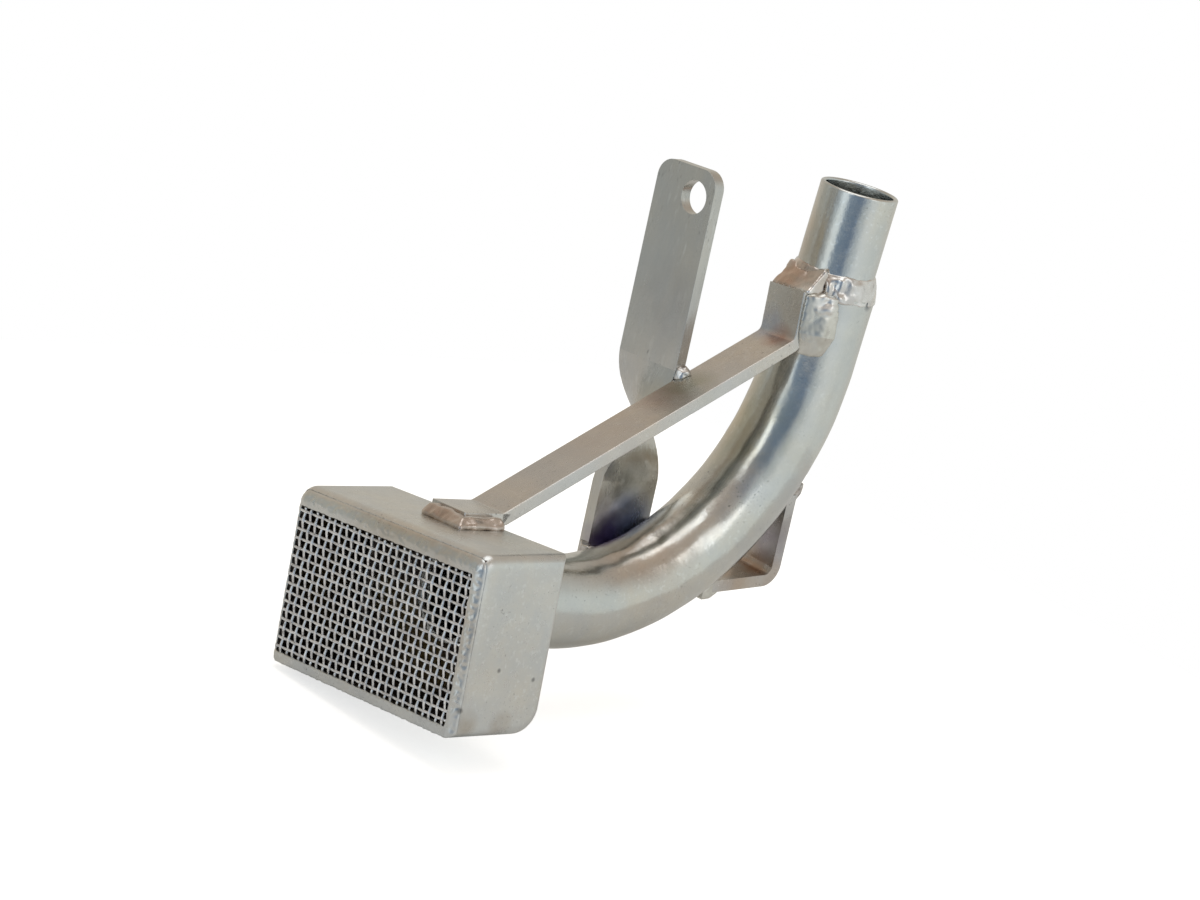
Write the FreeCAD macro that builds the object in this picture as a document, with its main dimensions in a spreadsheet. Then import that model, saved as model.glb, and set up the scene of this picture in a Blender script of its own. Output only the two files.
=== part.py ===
import FreeCAD, Part
import math
import os
import Sketcher

# Oil pickup tube: a screened strainer box on a bent tube that ends in a
# press-in stub, stiffened by a brace strap and held by a twisted bracket.
# Millimetres. The origin is the centre of the stub's open end, +Z is up along
# the stub, the box lies toward -X and the tube's bend is in the XZ plane. The
# box is rolled a little about X, and the brace lies in the box's own plane.

os.makedirs("parts", exist_ok=True)
doc = FreeCAD.newDocument("OilPickupTube")
sheet = doc.addObject("Spreadsheet::Sheet", "Sizes")
cells = {}


def size(name, value):
    row = len(cells) + 1
    cells[name] = float(value)
    sheet.set("A%d" % row, name)
    sheet.set("B%d" % row, "%.7f" % value)
    sheet.setAlias("B%d" % row, name)
    return float(value)


# driving sizes

# tube and stub
stub_diameter = size("stub_diameter", 19.05)
stub_wall = size("stub_wall", 1.2)
stub_reach = size("stub_reach", 24.7)
stub_insert = size("stub_insert", 8.0)
stub_rim_bevel = size("stub_rim_bevel", 0.4)
socket_clearance = size("socket_clearance", 0.35)
tube_diameter = size("tube_diameter", 22.2)
tube_wall = size("tube_wall", 1.5)
tube_top_run = size("tube_top_run", 17.9)
tube_bend_radius = size("tube_bend_radius", 62.2)
tube_exit_dip = size("tube_exit_dip", 3.74)
tube_low_run = size("tube_low_run", 27.1)
tube_inset = size("tube_inset", 2.0)

# strainer box
box_width = size("box_width", 62.5)
box_depth = size("box_depth", 26.2)
box_height = size("box_height", 41.0)
box_wall = size("box_wall", 1.2)
box_side_radius = size("box_side_radius", 2.75)
box_back_radius = size("box_back_radius", 6.5)
box_lip_radius = size("box_lip_radius", 4.0)
box_hole_height = size("box_hole_height", 23.1)
box_hole_clearance = size("box_hole_clearance", 0.15)
box_roll = size("box_roll", 7.0)

# screen
rim_setback = size("rim_setback", 1.6)
screen_margin_near = size("screen_margin_near", 2.95)
screen_margin_far = size("screen_margin_far", 1.25)
screen_margin_low = size("screen_margin_low", 2.3)
screen_margin_high = size("screen_margin_high", 4.7)
screen_sheet = size("screen_sheet", 0.6)
screen_sheet_front = size("screen_sheet_front", 0.6)
screen_bar = size("screen_bar", 1.5)
screen_rim = size("screen_rim", 0.9)
warp_ridge = size("warp_ridge", 0.55)
weft_ridge = size("weft_ridge", 0.4)
GAPS_ACROSS = 13
GAPS_UP = 8

# straps
strap_width = size("strap_width", 12.5)
strap_thickness = size("strap_thickness", 3.0)
strap_bend = size("strap_bend", 2.0)
brace_tab = size("brace_tab", 11.0)
brace_tab_inset = size("brace_tab_inset", 8.7)
brace_pivot = size("brace_pivot", 3.2)
brace_yaw = size("brace_yaw", 5.8)
brace_top_tab = size("brace_top_tab", 13.3)
brace_below_ring = size("brace_below_ring", 0.75)
foot_place = size("foot_place", 39.9)
foot_stand_off = size("foot_stand_off", 14.8)
foot_upright = size("foot_upright", 23.6)
foot_base = size("foot_base", 22.7)
foot_upright_lean = size("foot_upright_lean", -5.5)
foot_base_tilt = size("foot_base_tilt", 4.4)

# mounting bracket
bracket_width = size("bracket_width", 19.05)
bracket_thickness = size("bracket_thickness", 3.0)
bracket_place = size("bracket_place", 58.4)
bracket_drop = size("bracket_drop", 5.1)
bracket_low_leg = size("bracket_low_leg", 23.7)
bracket_twist_length = size("bracket_twist_length", 29.8)
bracket_high_leg = size("bracket_high_leg", 47.2)
bracket_side_lean = size("bracket_side_lean", 1.2)
bracket_stand_clear = size("bracket_stand_clear", 0.1)
bracket_hole = size("bracket_hole", 8.0)
bracket_hole_down = size("bracket_hole_down", 7.0)
bracket_hole_aside = size("bracket_hole_aside", 3.3)
bracket_corner = size("bracket_corner", 4.5)
TWIST_STEPS = 6

# welds
ring_weld_height = size("ring_weld_height", 5.0)
box_ring_weld = size("box_ring_weld", 3.0)
bead_width = size("bead_width", 4.0)
bead_height = size("bead_height", 2.4)
side_bead = size("side_bead", 3.0)
tack_radius = size("tack_radius", 2.2)
foot_bead = size("foot_bead", 2.2)
cap_rise = size("cap_rise", 5.5)
bead_inset = size("bead_inset", 0.5)
bead_depth = size("bead_depth", 6.5)
leg_bead_low = size("leg_bead_low", 0.5)
leg_bead_run = size("leg_bead_run", 8.0)

# places worked out from the driving sizes

dip = math.radians(tube_exit_dip)
roll = math.radians(box_roll)
stub_radius = size("stub_radius", stub_diameter / 2)
stub_length = size("stub_length", stub_reach + stub_insert)
tube_radius = size("tube_radius", tube_diameter / 2)
tube_bore = size("tube_bore", tube_radius - tube_wall)
seat_radius = size("seat_radius", tube_bore - socket_clearance)
seat_length = size("seat_length", stub_insert + ring_weld_height)
tube_sweep = size("tube_sweep", 90 + tube_exit_dip)
sweep = math.radians(tube_sweep)

centre_x = size("centre_x", -tube_bend_radius)
centre_z = size("centre_z", -stub_reach - tube_top_run)
bend_start_x = size("bend_start_x", centre_x - tube_bend_radius * math.sin(dip))
bend_start_z = size("bend_start_z", centre_z - tube_bend_radius * math.cos(dip))
box_back_x = size("box_back_x", bend_start_x - tube_low_run * math.cos(dip))
tube_exit_z = size("tube_exit_z", bend_start_z + tube_low_run * math.sin(dip))
box_front_x = size("box_front_x", box_back_x - box_depth)
box_base_y = size("box_base_y", -box_hole_height * math.sin(roll))
box_base_z = size("box_base_z", tube_exit_z - box_hole_height * math.cos(roll))

ABOUT_X = FreeCAD.Vector(1, 0, 0)
ABOUT_Y = FreeCAD.Vector(0, 1, 0)
ABOUT_Z = FreeCAD.Vector(0, 0, 1)
box_turn = FreeCAD.Rotation(ABOUT_X, -box_roll)
brace_turn = box_turn.multiply(FreeCAD.Rotation(ABOUT_Z, -brace_yaw))


def tube_face_x(z, offset):
    """X of the surface at this height, offset from the axis in the tube's own plane."""
    if z > centre_z:
        return offset
    return centre_x + math.sqrt((tube_bend_radius + offset) ** 2 - (centre_z - z) ** 2)


def tube_axis_z(x):
    """Height of the tube's axis in its bend at this X."""
    return centre_z - math.sqrt(tube_bend_radius**2 - (x - centre_x) ** 2)


# helpers


def new_body(label):
    body = doc.addObject("PartDesign::Body", label)
    body.Label = label
    return body


def origin_part(body, role):
    for item in body.Origin.OriginFeatures:
        if item.Role == role:
            return item
    raise ValueError("no origin part " + role)


def place(body, across="", along="", up="", turn="", attitude=None):
    """Put a body at named cells, turned about Y by a named angle or to an attitude."""
    base = [cells.get(name, 0.0) for name in (across, along, up)]
    rotation = attitude
    if attitude is None:
        rotation = FreeCAD.Rotation(ABOUT_Y, cells.get(turn, 0.0))
    body.Placement = FreeCAD.Placement(FreeCAD.Vector(*base), rotation)
    for letter, name in zip("xyz", (across, along, up)):
        if name:
            body.setExpression("Placement.Base." + letter, "Sizes." + name)
    if turn:
        body.setExpression("Placement.Rotation.Angle", "Sizes.%s * 1 deg" % turn)


def new_sketch(body, name, role, lift=""):
    """A sketch on an origin plane, lifted along the plane's normal by a named cell."""
    sketch = body.newObject("Sketcher::SketchObject", name)
    sketch.AttachmentSupport = [(origin_part(body, role), "")]
    sketch.MapMode = "FlatFace"
    if lift:
        height = cells[lift]
        sketch.AttachmentOffset = FreeCAD.Placement(
            FreeCAD.Vector(0, 0, height), FreeCAD.Rotation()
        )
        sketch.setExpression("AttachmentOffset.Base.z", "Sizes." + lift)
    return sketch


def value_of(name):
    if not name:
        return 0.0
    if name.startswith("-"):
        return -cells[name[1:]]
    return cells[name]


def expression_of(name):
    if name.startswith("-"):
        return "-Sizes." + name[1:]
    return "Sizes." + name


def pin_point(sketch, geo, pos, across, up):
    """Hold a sketch point at two named cells; an empty name means zero."""
    for kind, name, axis in (("DistanceX", across, -2), ("DistanceY", up, -1)):
        if abs(value_of(name)) < 1e-9:
            sketch.addConstraint(Sketcher.Constraint("PointOnObject", geo, pos, axis))
            continue
        rule = Sketcher.Constraint(kind, -1, 1, geo, pos, value_of(name))
        index = sketch.addConstraint(rule)
        sketch.setExpression("Constraints[%d]" % index, expression_of(name))


def polygon(sketch, corners):
    """A closed outline whose corners are pairs of named cells."""
    points = [FreeCAD.Vector(value_of(a), value_of(b), 0) for a, b in corners]
    first = len(sketch.Geometry)
    count = len(points)
    for i in range(count):
        sketch.addGeometry(Part.LineSegment(points[i], points[(i + 1) % count]))
    for i in range(count):
        following = first + (i + 1) % count
        sketch.addConstraint(
            Sketcher.Constraint("Coincident", first + i, 2, following, 1)
        )
    for i, (across, up) in enumerate(corners):
        pin_point(sketch, first + i, 1, across, up)


def rectangle(sketch, left, right, low, high):
    polygon(sketch, [(left, low), (right, low), (right, high), (left, high)])


def circle(sketch, across, up, radius):
    centre = FreeCAD.Vector(value_of(across), value_of(up), 0)
    geo = sketch.addGeometry(
        Part.Circle(centre, FreeCAD.Vector(0, 0, 1), cells[radius])
    )
    pin_point(sketch, geo, 3, across, up)
    index = sketch.addConstraint(Sketcher.Constraint("Radius", geo, cells[radius]))
    sketch.setExpression("Constraints[%d]" % index, "Sizes." + radius)


def pad(body, name, sketch, length, both=False, back=False):
    feature = body.newObject("PartDesign::Pad", name)
    feature.Profile = sketch
    feature.Length = cells[length]
    feature.setExpression("Length", "Sizes." + length)
    if both:
        feature.SideType = "Symmetric"
    feature.Reversed = back
    body.Tip = feature
    doc.recompute([feature])
    return feature


def pocket(body, name, sketch, length, forward=False):
    """Cut against the sketch's normal, or along it when forward."""
    before = body.Tip.Shape.Volume
    feature = body.newObject("PartDesign::Pocket", name)
    feature.Profile = sketch
    feature.Length = cells[length]
    feature.setExpression("Length", "Sizes." + length)
    feature.Reversed = forward
    body.Tip = feature
    doc.recompute([feature])
    if feature.Shape.Volume >= before - 1e-6:
        raise ValueError(name + " removed nothing")
    return feature


def revolve(body, name, sketch, axis_role, angle="", back=False):
    feature = body.newObject("PartDesign::Revolution", name)
    feature.Profile = sketch
    feature.ReferenceAxis = (origin_part(body, axis_role), [""])
    feature.Angle = cells[angle] if angle else 360.0
    if angle:
        feature.setExpression("Angle", "Sizes." + angle)
    feature.Reversed = back
    body.Tip = feature
    doc.recompute([feature])
    return feature


def edges_where(feature, test):
    names = []
    for number, edge in enumerate(feature.Shape.Edges, 1):
        if test(edge):
            names.append("Edge%d" % number)
    if not names:
        raise ValueError("no edges found on " + feature.Name)
    return names


def round_edges(body, name, test, radius, kind="Fillet"):
    last = body.Tip
    feature = body.newObject("PartDesign::" + kind, name)
    feature.Base = (last, edges_where(last, test))
    prop = "Radius" if kind == "Fillet" else "Size"
    setattr(feature, prop, cells[radius])
    feature.setExpression(prop, "Sizes." + radius)
    body.Tip = feature
    doc.recompute([feature])
    return feature


def face_where(feature, test):
    for number, face in enumerate(feature.Shape.Faces, 1):
        if test(face):
            return "Face%d" % number
    raise ValueError("no face found on " + feature.Name)


def near(a, b, slack=1e-4):
    return abs(a - b) < slack


def runs_along_y(edge, x, z):
    """True for an edge parallel to Y through the point (x, z)."""
    ends = [vertex.Point for vertex in edge.Vertexes]
    if len(ends) != 2 or abs(ends[0].y - ends[1].y) < 0.5:
        return False
    return all(near(p.x, x) and near(p.z, z) for p in ends)


def pattern(body, name, feature, axis_role, length, count):
    copies = body.newObject("PartDesign::LinearPattern", name)
    copies.Originals = [feature]
    copies.Direction = (origin_part(body, axis_role), [""])
    copies.Length = cells[length]
    copies.setExpression("Length", "Sizes." + length)
    copies.Occurrences = count
    body.Tip = copies
    doc.recompute([copies])
    return copies


def cut(label, base, tools):
    """A weld or coped end: the raw body less what it sits against."""
    if len(tools) == 1:
        tool = tools[0]
    else:
        tool = doc.addObject("Part::MultiFuse", label + "_seats")
        tool.Shapes = tools
    piece = doc.addObject("Part::Cut", label)
    piece.Base = base
    piece.Tool = tool
    piece.Label = label
    doc.recompute([piece])
    return piece


# pump stub and its ring weld

# the stub is drawn down a little where it enters the main tube
pump_stub = new_body("pump_stub")
stub_bore = size("stub_bore", stub_radius - stub_wall)
stub_shown = size("stub_shown", stub_reach - ring_weld_height)
seat_start = size("seat_start", -stub_shown)
ring = new_sketch(pump_stub, "StubSection", "XY_Plane")
circle(ring, "", "", "stub_radius")
circle(ring, "", "", "stub_bore")
pad(pump_stub, "StubTube", ring, "stub_shown", back=True)
seat = new_sketch(pump_stub, "SeatSection", "XY_Plane", "seat_start")
circle(seat, "", "", "seat_radius")
circle(seat, "", "", "stub_bore")
pad(pump_stub, "StubSeat", seat, "seat_length", back=True)
round_edges(
    pump_stub,
    "StubRim",
    lambda e: near(e.CenterOfMass.z, 0.0),
    "stub_rim_bevel",
    "Chamfer",
)

weld_stub_ring = new_body("weld_stub_ring")
ring_base = size("ring_base", -stub_reach)
ring_top = size("ring_top", -stub_shown)
ring_shoulder = size("ring_shoulder", -stub_reach + 0.55 * ring_weld_height)
ring_waist = size("ring_waist", stub_radius + 0.62 * (tube_radius - stub_radius))
ring_profile = new_sketch(weld_stub_ring, "RingWeldProfile", "XZ_Plane")
polygon(
    ring_profile,
    [
        ("seat_radius", "ring_base"),
        ("tube_radius", "ring_base"),
        ("ring_waist", "ring_shoulder"),
        ("stub_radius", "ring_top"),
        ("seat_radius", "ring_top"),
    ],
)
revolve(weld_stub_ring, "RingWeld", ring_profile, "Z_Axis")

# main tube: straight, bend, straight


def tube_form(body, bore=""):
    """The tube's path in a frame at the bend's centre."""
    place(body, "centre_x", "", "centre_z")
    section = new_sketch(body, body.Name + "TopSection", "XY_Plane")
    circle(section, "tube_bend_radius", "", "tube_radius")
    if bore:
        circle(section, "tube_bend_radius", "", bore)
    pad(body, body.Name + "TopRun", section, "tube_top_run")
    revolve(body, body.Name + "Bend", section, "Y_Axis", "tube_sweep")
    low = new_sketch(body, body.Name + "LowSection", "XY_Plane")
    turn = FreeCAD.Rotation(FreeCAD.Vector(0, 1, 0), tube_sweep)
    spot = FreeCAD.Vector(bend_end_across, 0, bend_end_up)
    low.AttachmentOffset = FreeCAD.Placement(spot, turn)
    low.setExpression("AttachmentOffset.Base.x", "Sizes.bend_end_across")
    low.setExpression("AttachmentOffset.Base.z", "Sizes.bend_end_up")
    low.setExpression("AttachmentOffset.Rotation.Angle", "Sizes.tube_sweep * 1 deg")
    circle(low, "", "", "tube_radius")
    if bore:
        circle(low, "", "", bore)
    pad(body, body.Name + "LowRun", low, "tube_low_length", back=True)


bend_end_across = size("bend_end_across", tube_bend_radius * math.cos(sweep))
bend_end_up = size("bend_end_up", -tube_bend_radius * math.sin(sweep))
tube_low_length = size("tube_low_length", tube_low_run + box_wall + tube_inset)

main_tube = new_body("main_tube")
tube_form(main_tube, "tube_bore")
tube_core = new_body("TubeEnvelope")
tube_form(tube_core)

# strainer box: folded shell with rounded sides, open front, round hole

half_width = size("half_width", box_width / 2)


def box_form(body):
    """The outside of the box, as a solid, from its side profile."""
    place(body, "box_front_x", "box_base_y", "box_base_z", attitude=box_turn)
    side = new_sketch(body, body.Name + "Side", "XZ_Plane")
    rectangle(side, "", "box_depth", "", "box_height")
    pad(body, body.Name + "Block", side, "box_width", both=True)
    round_edges(
        body,
        body.Name + "BackFold",
        lambda e: runs_along_y(e, box_depth, 0.0),
        "box_back_radius",
    )
    round_edges(
        body,
        body.Name + "Lip",
        lambda e: runs_along_y(e, 0.0, box_height),
        "box_lip_radius",
    )

    def on_side(edge):
        if not all(near(abs(v.Point.y), half_width) for v in edge.Vertexes):
            return False
        middle = edge.CenterOfMass
        return near(abs(middle.y), half_width) and middle.x > 0.01

    round_edges(body, body.Name + "Sides", on_side, "box_side_radius")


strainer_box = new_body("strainer_box")
box_form(strainer_box)
outline_low = size("outline_low", -5.0)
outline_high = size("outline_high", box_height + 5)
outline_half = size("outline_half", half_width + 5)
front_cut = new_sketch(strainer_box, "FrontOpening", "YZ_Plane")
rectangle(front_cut, "-outline_half", "outline_half", "outline_low", "outline_high")
pocket(strainer_box, "RimCut", front_cut, "rim_setback", forward=True)
solid_box = strainer_box.Tip
shell = strainer_box.newObject("PartDesign::Thickness", "BoxShell")
front_face = face_where(
    solid_box,
    lambda f: near(f.CenterOfMass.x, rim_setback) and f.Area > 100,
)
shell.Base = (solid_box, [front_face])
shell.Value = box_wall
shell.setExpression("Value", "Sizes.box_wall")
shell.Reversed = True
strainer_box.Tip = shell
doc.recompute([shell])
hole_radius = size("hole_radius", tube_radius + box_hole_clearance)
hole_start = size("hole_start", box_depth + 1)
hole_length = size("hole_length", box_wall + 2)
tube_hole = new_sketch(strainer_box, "TubeHole", "YZ_Plane", "hole_start")
circle(tube_hole, "", "box_hole_height", "hole_radius")
pocket(strainer_box, "TubeOpening", tube_hole, "hole_length")

box_core = new_body("BoxEnvelope")
box_form(box_core)

# screen: one wall of ridges and gaps, and the bead that holds it

screen_left = size("screen_left", screen_margin_near - half_width)
screen_right = size("screen_right", half_width - screen_margin_far)
screen_top = size("screen_top", box_height - screen_margin_high)
screen_width = size("screen_width", screen_right - screen_left)
screen_height = size("screen_height", screen_top - screen_margin_low)
screen_back = size("screen_back", screen_sheet_front + screen_sheet)

weld_screen = new_body("weld_screen")
box_form(weld_screen)
behind = new_sketch(weld_screen, "BehindBead", "YZ_Plane", "rim_setback")
rectangle(behind, "-outline_half", "outline_half", "outline_low", "outline_high")
pocket(weld_screen, "BeadBack", behind, "box_depth", forward=True)
window = new_sketch(weld_screen, "ScreenWindow", "YZ_Plane")
rectangle(window, "screen_left", "screen_right", "screen_margin_low", "screen_top")
pocket(weld_screen, "BeadWindow", window, "rim_setback", forward=True)

screen_mesh = new_body("screen_mesh")
place(screen_mesh, "box_front_x", "box_base_y", "box_base_z", attitude=box_turn)
wall = new_sketch(screen_mesh, "ScreenWall", "YZ_Plane", "screen_sheet_front")
rectangle(wall, "screen_left", "screen_right", "screen_margin_low", "screen_top")
pad(screen_mesh, "ScreenSheet", wall, "screen_sheet")
pitch_across = (screen_width - 2 * screen_rim + screen_bar) / GAPS_ACROSS
pitch_up = (screen_height - 2 * screen_rim + screen_bar) / GAPS_UP
gap_left = size("gap_left", screen_left + screen_rim)
gap_right = size("gap_right", gap_left + pitch_across - screen_bar)
gap_low = size("gap_low", screen_margin_low + screen_rim)
gap_high = size("gap_high", gap_low + pitch_up - screen_bar)
gap_span = size("gap_span", pitch_across * (GAPS_ACROSS - 1))
gap_rise = size("gap_rise", pitch_up * (GAPS_UP - 1))
gap = new_sketch(screen_mesh, "FirstGap", "YZ_Plane", "screen_back")
rectangle(gap, "gap_left", "gap_right", "gap_low", "gap_high")
first_gap = pocket(screen_mesh, "GapCut", gap, "screen_sheet")
gaps = screen_mesh.newObject("PartDesign::MultiTransform", "Gaps")
gaps.Originals = [first_gap]
rows = []
for name, role, length, count in (
    ("GapsAcross", "Y_Axis", "gap_span", GAPS_ACROSS),
    ("GapsUp", "Z_Axis", "gap_rise", GAPS_UP),
):
    row = screen_mesh.newObject("PartDesign::LinearPattern", name)
    row.Direction = (origin_part(screen_mesh, role), [""])
    row.Length = cells[length]
    row.setExpression("Length", "Sizes." + length)
    row.Occurrences = count
    rows.append(row)
gaps.Transformations = rows
screen_mesh.Tip = gaps
doc.recompute([gaps])

ridge_y = size("ridge_y", gap_right + screen_bar / 2)
ridge_z = size("ridge_z", gap_high + screen_bar / 2)
warp_span = size("warp_span", pitch_across * (GAPS_ACROSS - 2))
weft_span = size("weft_span", pitch_up * (GAPS_UP - 2))
warp = new_sketch(screen_mesh, "WarpSection", "XY_Plane", "screen_margin_low")
circle(warp, "screen_sheet_front", "ridge_y", "warp_ridge")
warp_wire = pad(screen_mesh, "WarpRidge", warp, "screen_height")
pattern(screen_mesh, "WarpRidges", warp_wire, "Y_Axis", "warp_span", GAPS_ACROSS - 1)
screen_right_back = size("screen_right_back", -screen_right)
weft = new_sketch(screen_mesh, "WeftSection", "XZ_Plane", "screen_right_back")
circle(weft, "screen_back", "ridge_z", "weft_ridge")
weft_wire = pad(screen_mesh, "WeftRidge", weft, "screen_width")
pattern(screen_mesh, "WeftRidges", weft_wire, "Z_Axis", "weft_span", GAPS_UP - 1)

# brace strap: bent flat bar from the box's top to the tube's front


def corner(name, x, z):
    size(name + "_x", x)
    size(name + "_z", z)
    return name + "_x", name + "_z"


def bend_edges(corners):
    """A test for the edges along Y at the given outline corners."""
    spots = [(cells[a], cells[b]) for a, b in corners]
    return lambda e: any(runs_along_y(e, x, z) for x, z in spots)


outer_bend = size("outer_bend", strap_bend + strap_thickness)
brace_base = FreeCAD.Vector(
    size("brace_base_x", box_back_x - brace_pivot),
    size("brace_base_y", box_base_y + box_height * math.sin(roll)),
    size("brace_base_z", box_base_z + box_height * math.cos(roll)),
)
brace_along = brace_turn.multVec(ABOUT_X)
brace_across = brace_turn.multVec(ABOUT_Y)
brace_up = brace_turn.multVec(ABOUT_Z)


def place_on_box_top(body):
    """The brace's frame lies on the box's top, turned a little toward the tube."""
    place(body, "brace_base_x", "brace_base_y", "brace_base_z", attitude=brace_turn)


def tube_seat(along, up):
    """Where the brace's frame meets the tube's front, near this place in it."""
    z = brace_base.z + along * brace_along.z + up * brace_up.z
    face = FreeCAD.Vector(tube_face_x(z, -tube_radius), 0, z)
    reach = math.hypot(brace_along.x, brace_along.y) - brace_along.x
    return (face - brace_base).dot(brace_along) - tube_radius * reach


tab_end_x = brace_pivot - brace_tab_inset
low_x = tab_end_x + brace_tab
tube_front_top = FreeCAD.Vector(-tube_radius, 0, -stub_reach) - brace_base
tab_top_z = tube_front_top.dot(brace_up) - brace_below_ring
back_vertex_z = tab_top_z - brace_top_tab

# the strap's slope and its tab's back face depend on each other, so they are
# worked out together: the tab meets the tube where its rounded bend runs out
rise = math.radians(30)
back_x = tube_front_top.dot(brace_along)
for _ in range(40):
    seat_z = back_vertex_z + outer_bend * math.tan((math.pi / 2 - rise) / 2)
    back_x = tube_seat(back_x, seat_z)
    climb = back_vertex_z + strap_thickness / math.cos(rise) - strap_thickness
    rise = math.atan2(climb, back_x - low_x)
front_x = back_x - strap_thickness
low_under_x = low_x + strap_thickness * math.tan(rise / 2)
size("brace_rise", math.degrees(rise))


def line_top(x):
    """Height of the sloping strap's upper face."""
    return strap_thickness + (x - low_x) * math.tan(rise)


brace_corners = [
    corner("tab_under", tab_end_x, 0.0),
    corner("low_under", low_under_x, 0.0),
    corner("high_back", back_x, back_vertex_z),
    corner("top_back", back_x, tab_top_z),
    corner("top_front", front_x, tab_top_z),
    corner("high_front", front_x, line_top(front_x)),
    corner("low_top", low_x, strap_thickness),
    corner("tab_top", tab_end_x, strap_thickness),
]
brace_blank = new_body("BraceBlank")
place_on_box_top(brace_blank)
brace_side = new_sketch(brace_blank, "BraceProfile", "XZ_Plane")
polygon(brace_side, brace_corners)
pad(brace_blank, "BraceBar", brace_side, "strap_width", both=True)
round_edges(
    brace_blank,
    "BraceInnerBends",
    bend_edges([brace_corners[5], brace_corners[6]]),
    "strap_bend",
)
round_edges(
    brace_blank,
    "BraceOuterBends",
    bend_edges([brace_corners[1], brace_corners[2]]),
    "outer_bend",
)
brace_strap = cut("brace_strap", brace_blank, [tube_core])

# foot angle: bent strap under the tube's bend, coped to the tube

place_angle = math.radians(foot_place)
reach = tube_bend_radius + tube_radius + foot_stand_off
foot_x = centre_x + reach * math.cos(place_angle)
foot_z = centre_z - reach * math.sin(place_angle)
tilt = math.radians(foot_base_tilt)
tip = math.radians(foot_upright_lean)
base_way = (-math.cos(tilt), -math.sin(tilt))
up_way = (math.sin(tip), math.cos(tip))
base_in = (-math.sin(tilt), math.cos(tilt))
up_in = (-math.cos(tip), math.sin(tip))
foot_opening = math.radians(90) + tilt + tip
inner_step = strap_thickness / math.tan(foot_opening / 2)
base_end = (foot_x + foot_base * base_way[0], foot_z + foot_base * base_way[1])
up_end = (foot_x + foot_upright * up_way[0], foot_z + foot_upright * up_way[1])
foot_corners = [
    corner("foot_heel", foot_x, foot_z),
    corner("foot_top_out", *up_end),
    corner(
        "foot_top_in",
        up_end[0] + strap_thickness * up_in[0],
        up_end[1] + strap_thickness * up_in[1],
    ),
    corner(
        "foot_inside",
        foot_x + strap_thickness * up_in[0] + inner_step * up_way[0],
        foot_z + strap_thickness * up_in[1] + inner_step * up_way[1],
    ),
    corner(
        "foot_end_in",
        base_end[0] + strap_thickness * base_in[0],
        base_end[1] + strap_thickness * base_in[1],
    ),
    corner("foot_end_out", *base_end),
]
foot_blank = new_body("FootBlank")
foot_side = new_sketch(foot_blank, "FootProfile", "XZ_Plane")
polygon(foot_side, foot_corners)
pad(foot_blank, "FootBar", foot_side, "strap_width", both=True)
round_edges(foot_blank, "FootInner", bend_edges([foot_corners[3]]), "strap_bend")
round_edges(foot_blank, "FootOuter", bend_edges([foot_corners[0]]), "outer_bend")
foot_angle = cut("foot_angle", foot_blank, [tube_core])

# mounting bracket: flat bar twisted a quarter turn

half_bar = size("half_bar", bracket_width / 2)
half_plate = size("half_plate", bracket_thickness / 2)
half_strap = size("half_strap", strap_width / 2)
bracket_x = size("bracket_x", box_back_x + bracket_place)
bracket_z = size("bracket_z", tube_axis_z(bracket_x) - bracket_drop)
front_seat = FreeCAD.Vector(bracket_x - half_bar, 0, tube_axis_z(bracket_x - half_bar))
rear_seat = FreeCAD.Vector(bracket_x + half_bar, 0, tube_axis_z(bracket_x + half_bar))

# the lower leg lies against the tube and the upper leg's near edge comes up to
# the brace's far edge, so the bar's lean is worked out from the two
side_tan = math.tan(math.radians(bracket_side_lean))
bar_lean = math.radians(4)
meet = FreeCAD.Vector(bracket_x, half_strap, bracket_z)
for _ in range(40):
    bar_turn = FreeCAD.Rotation(ABOUT_Y, -bracket_side_lean).multiply(
        FreeCAD.Rotation(ABOUT_X, -math.degrees(bar_lean))
    )
    outward = bar_turn.multVec(ABOUT_Y)
    gap_x = outward.x * (bracket_x - front_seat.x)
    gap_z = outward.z * (bracket_z - front_seat.z)
    bar_y = (tube_radius + half_plate - gap_x - gap_z) / outward.y
    meet_x = bracket_x - (meet.z - bracket_z) * side_tan
    along = (meet_x - brace_base.x - half_strap * brace_across.x) / brace_along.x
    meet = brace_base + brace_turn.multVec(
        FreeCAD.Vector(along, half_strap, line_top(along))
    )
    edge_y = meet.y + bracket_stand_clear - bar_y + half_bar * math.cos(bar_lean)
    climb = meet.z - bracket_z - half_bar * math.sin(bar_lean)
    bar_lean = math.atan2(edge_y, climb)
size("bracket_y", bar_y)
size("bracket_lean", math.degrees(bar_lean))



def place_as_bracket(body):
    place(body, "bracket_x", "bracket_y", "bracket_z", attitude=bar_turn)


mounting_bracket = new_body("mounting_bracket")
place_as_bracket(mounting_bracket)
low_bar = new_sketch(mounting_bracket, "LowSection", "XY_Plane")
rectangle(low_bar, "-half_bar", "half_bar", "-half_plate", "half_plate")
pad(mounting_bracket, "LowLeg", low_bar, "bracket_low_leg")

sections = []
for step in range(TWIST_STEPS + 1):
    share = step / TWIST_STEPS
    name = "twist_" + "abcdefghij"[step]
    size(name, bracket_low_leg + share * bracket_twist_length)
    station = new_sketch(mounting_bracket, "Station" + name[-1].upper(), "XY_Plane", name)
    spin = FreeCAD.Rotation(ABOUT_Z, 90 * share)
    spot = FreeCAD.Vector(0, 0, cells[name])
    station.AttachmentOffset = FreeCAD.Placement(spot, spin)
    rectangle(station, "-half_bar", "half_bar", "-half_plate", "half_plate")
    sections.append(station)
twist = mounting_bracket.newObject("PartDesign::AdditiveLoft", "Twist")
twist.Profile = sections[0]
twist.Sections = sections[1:]
twist.Ruled = False
mounting_bracket.Tip = twist
doc.recompute([twist])
pad(mounting_bracket, "HighLeg", sections[-1], "bracket_high_leg")

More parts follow.
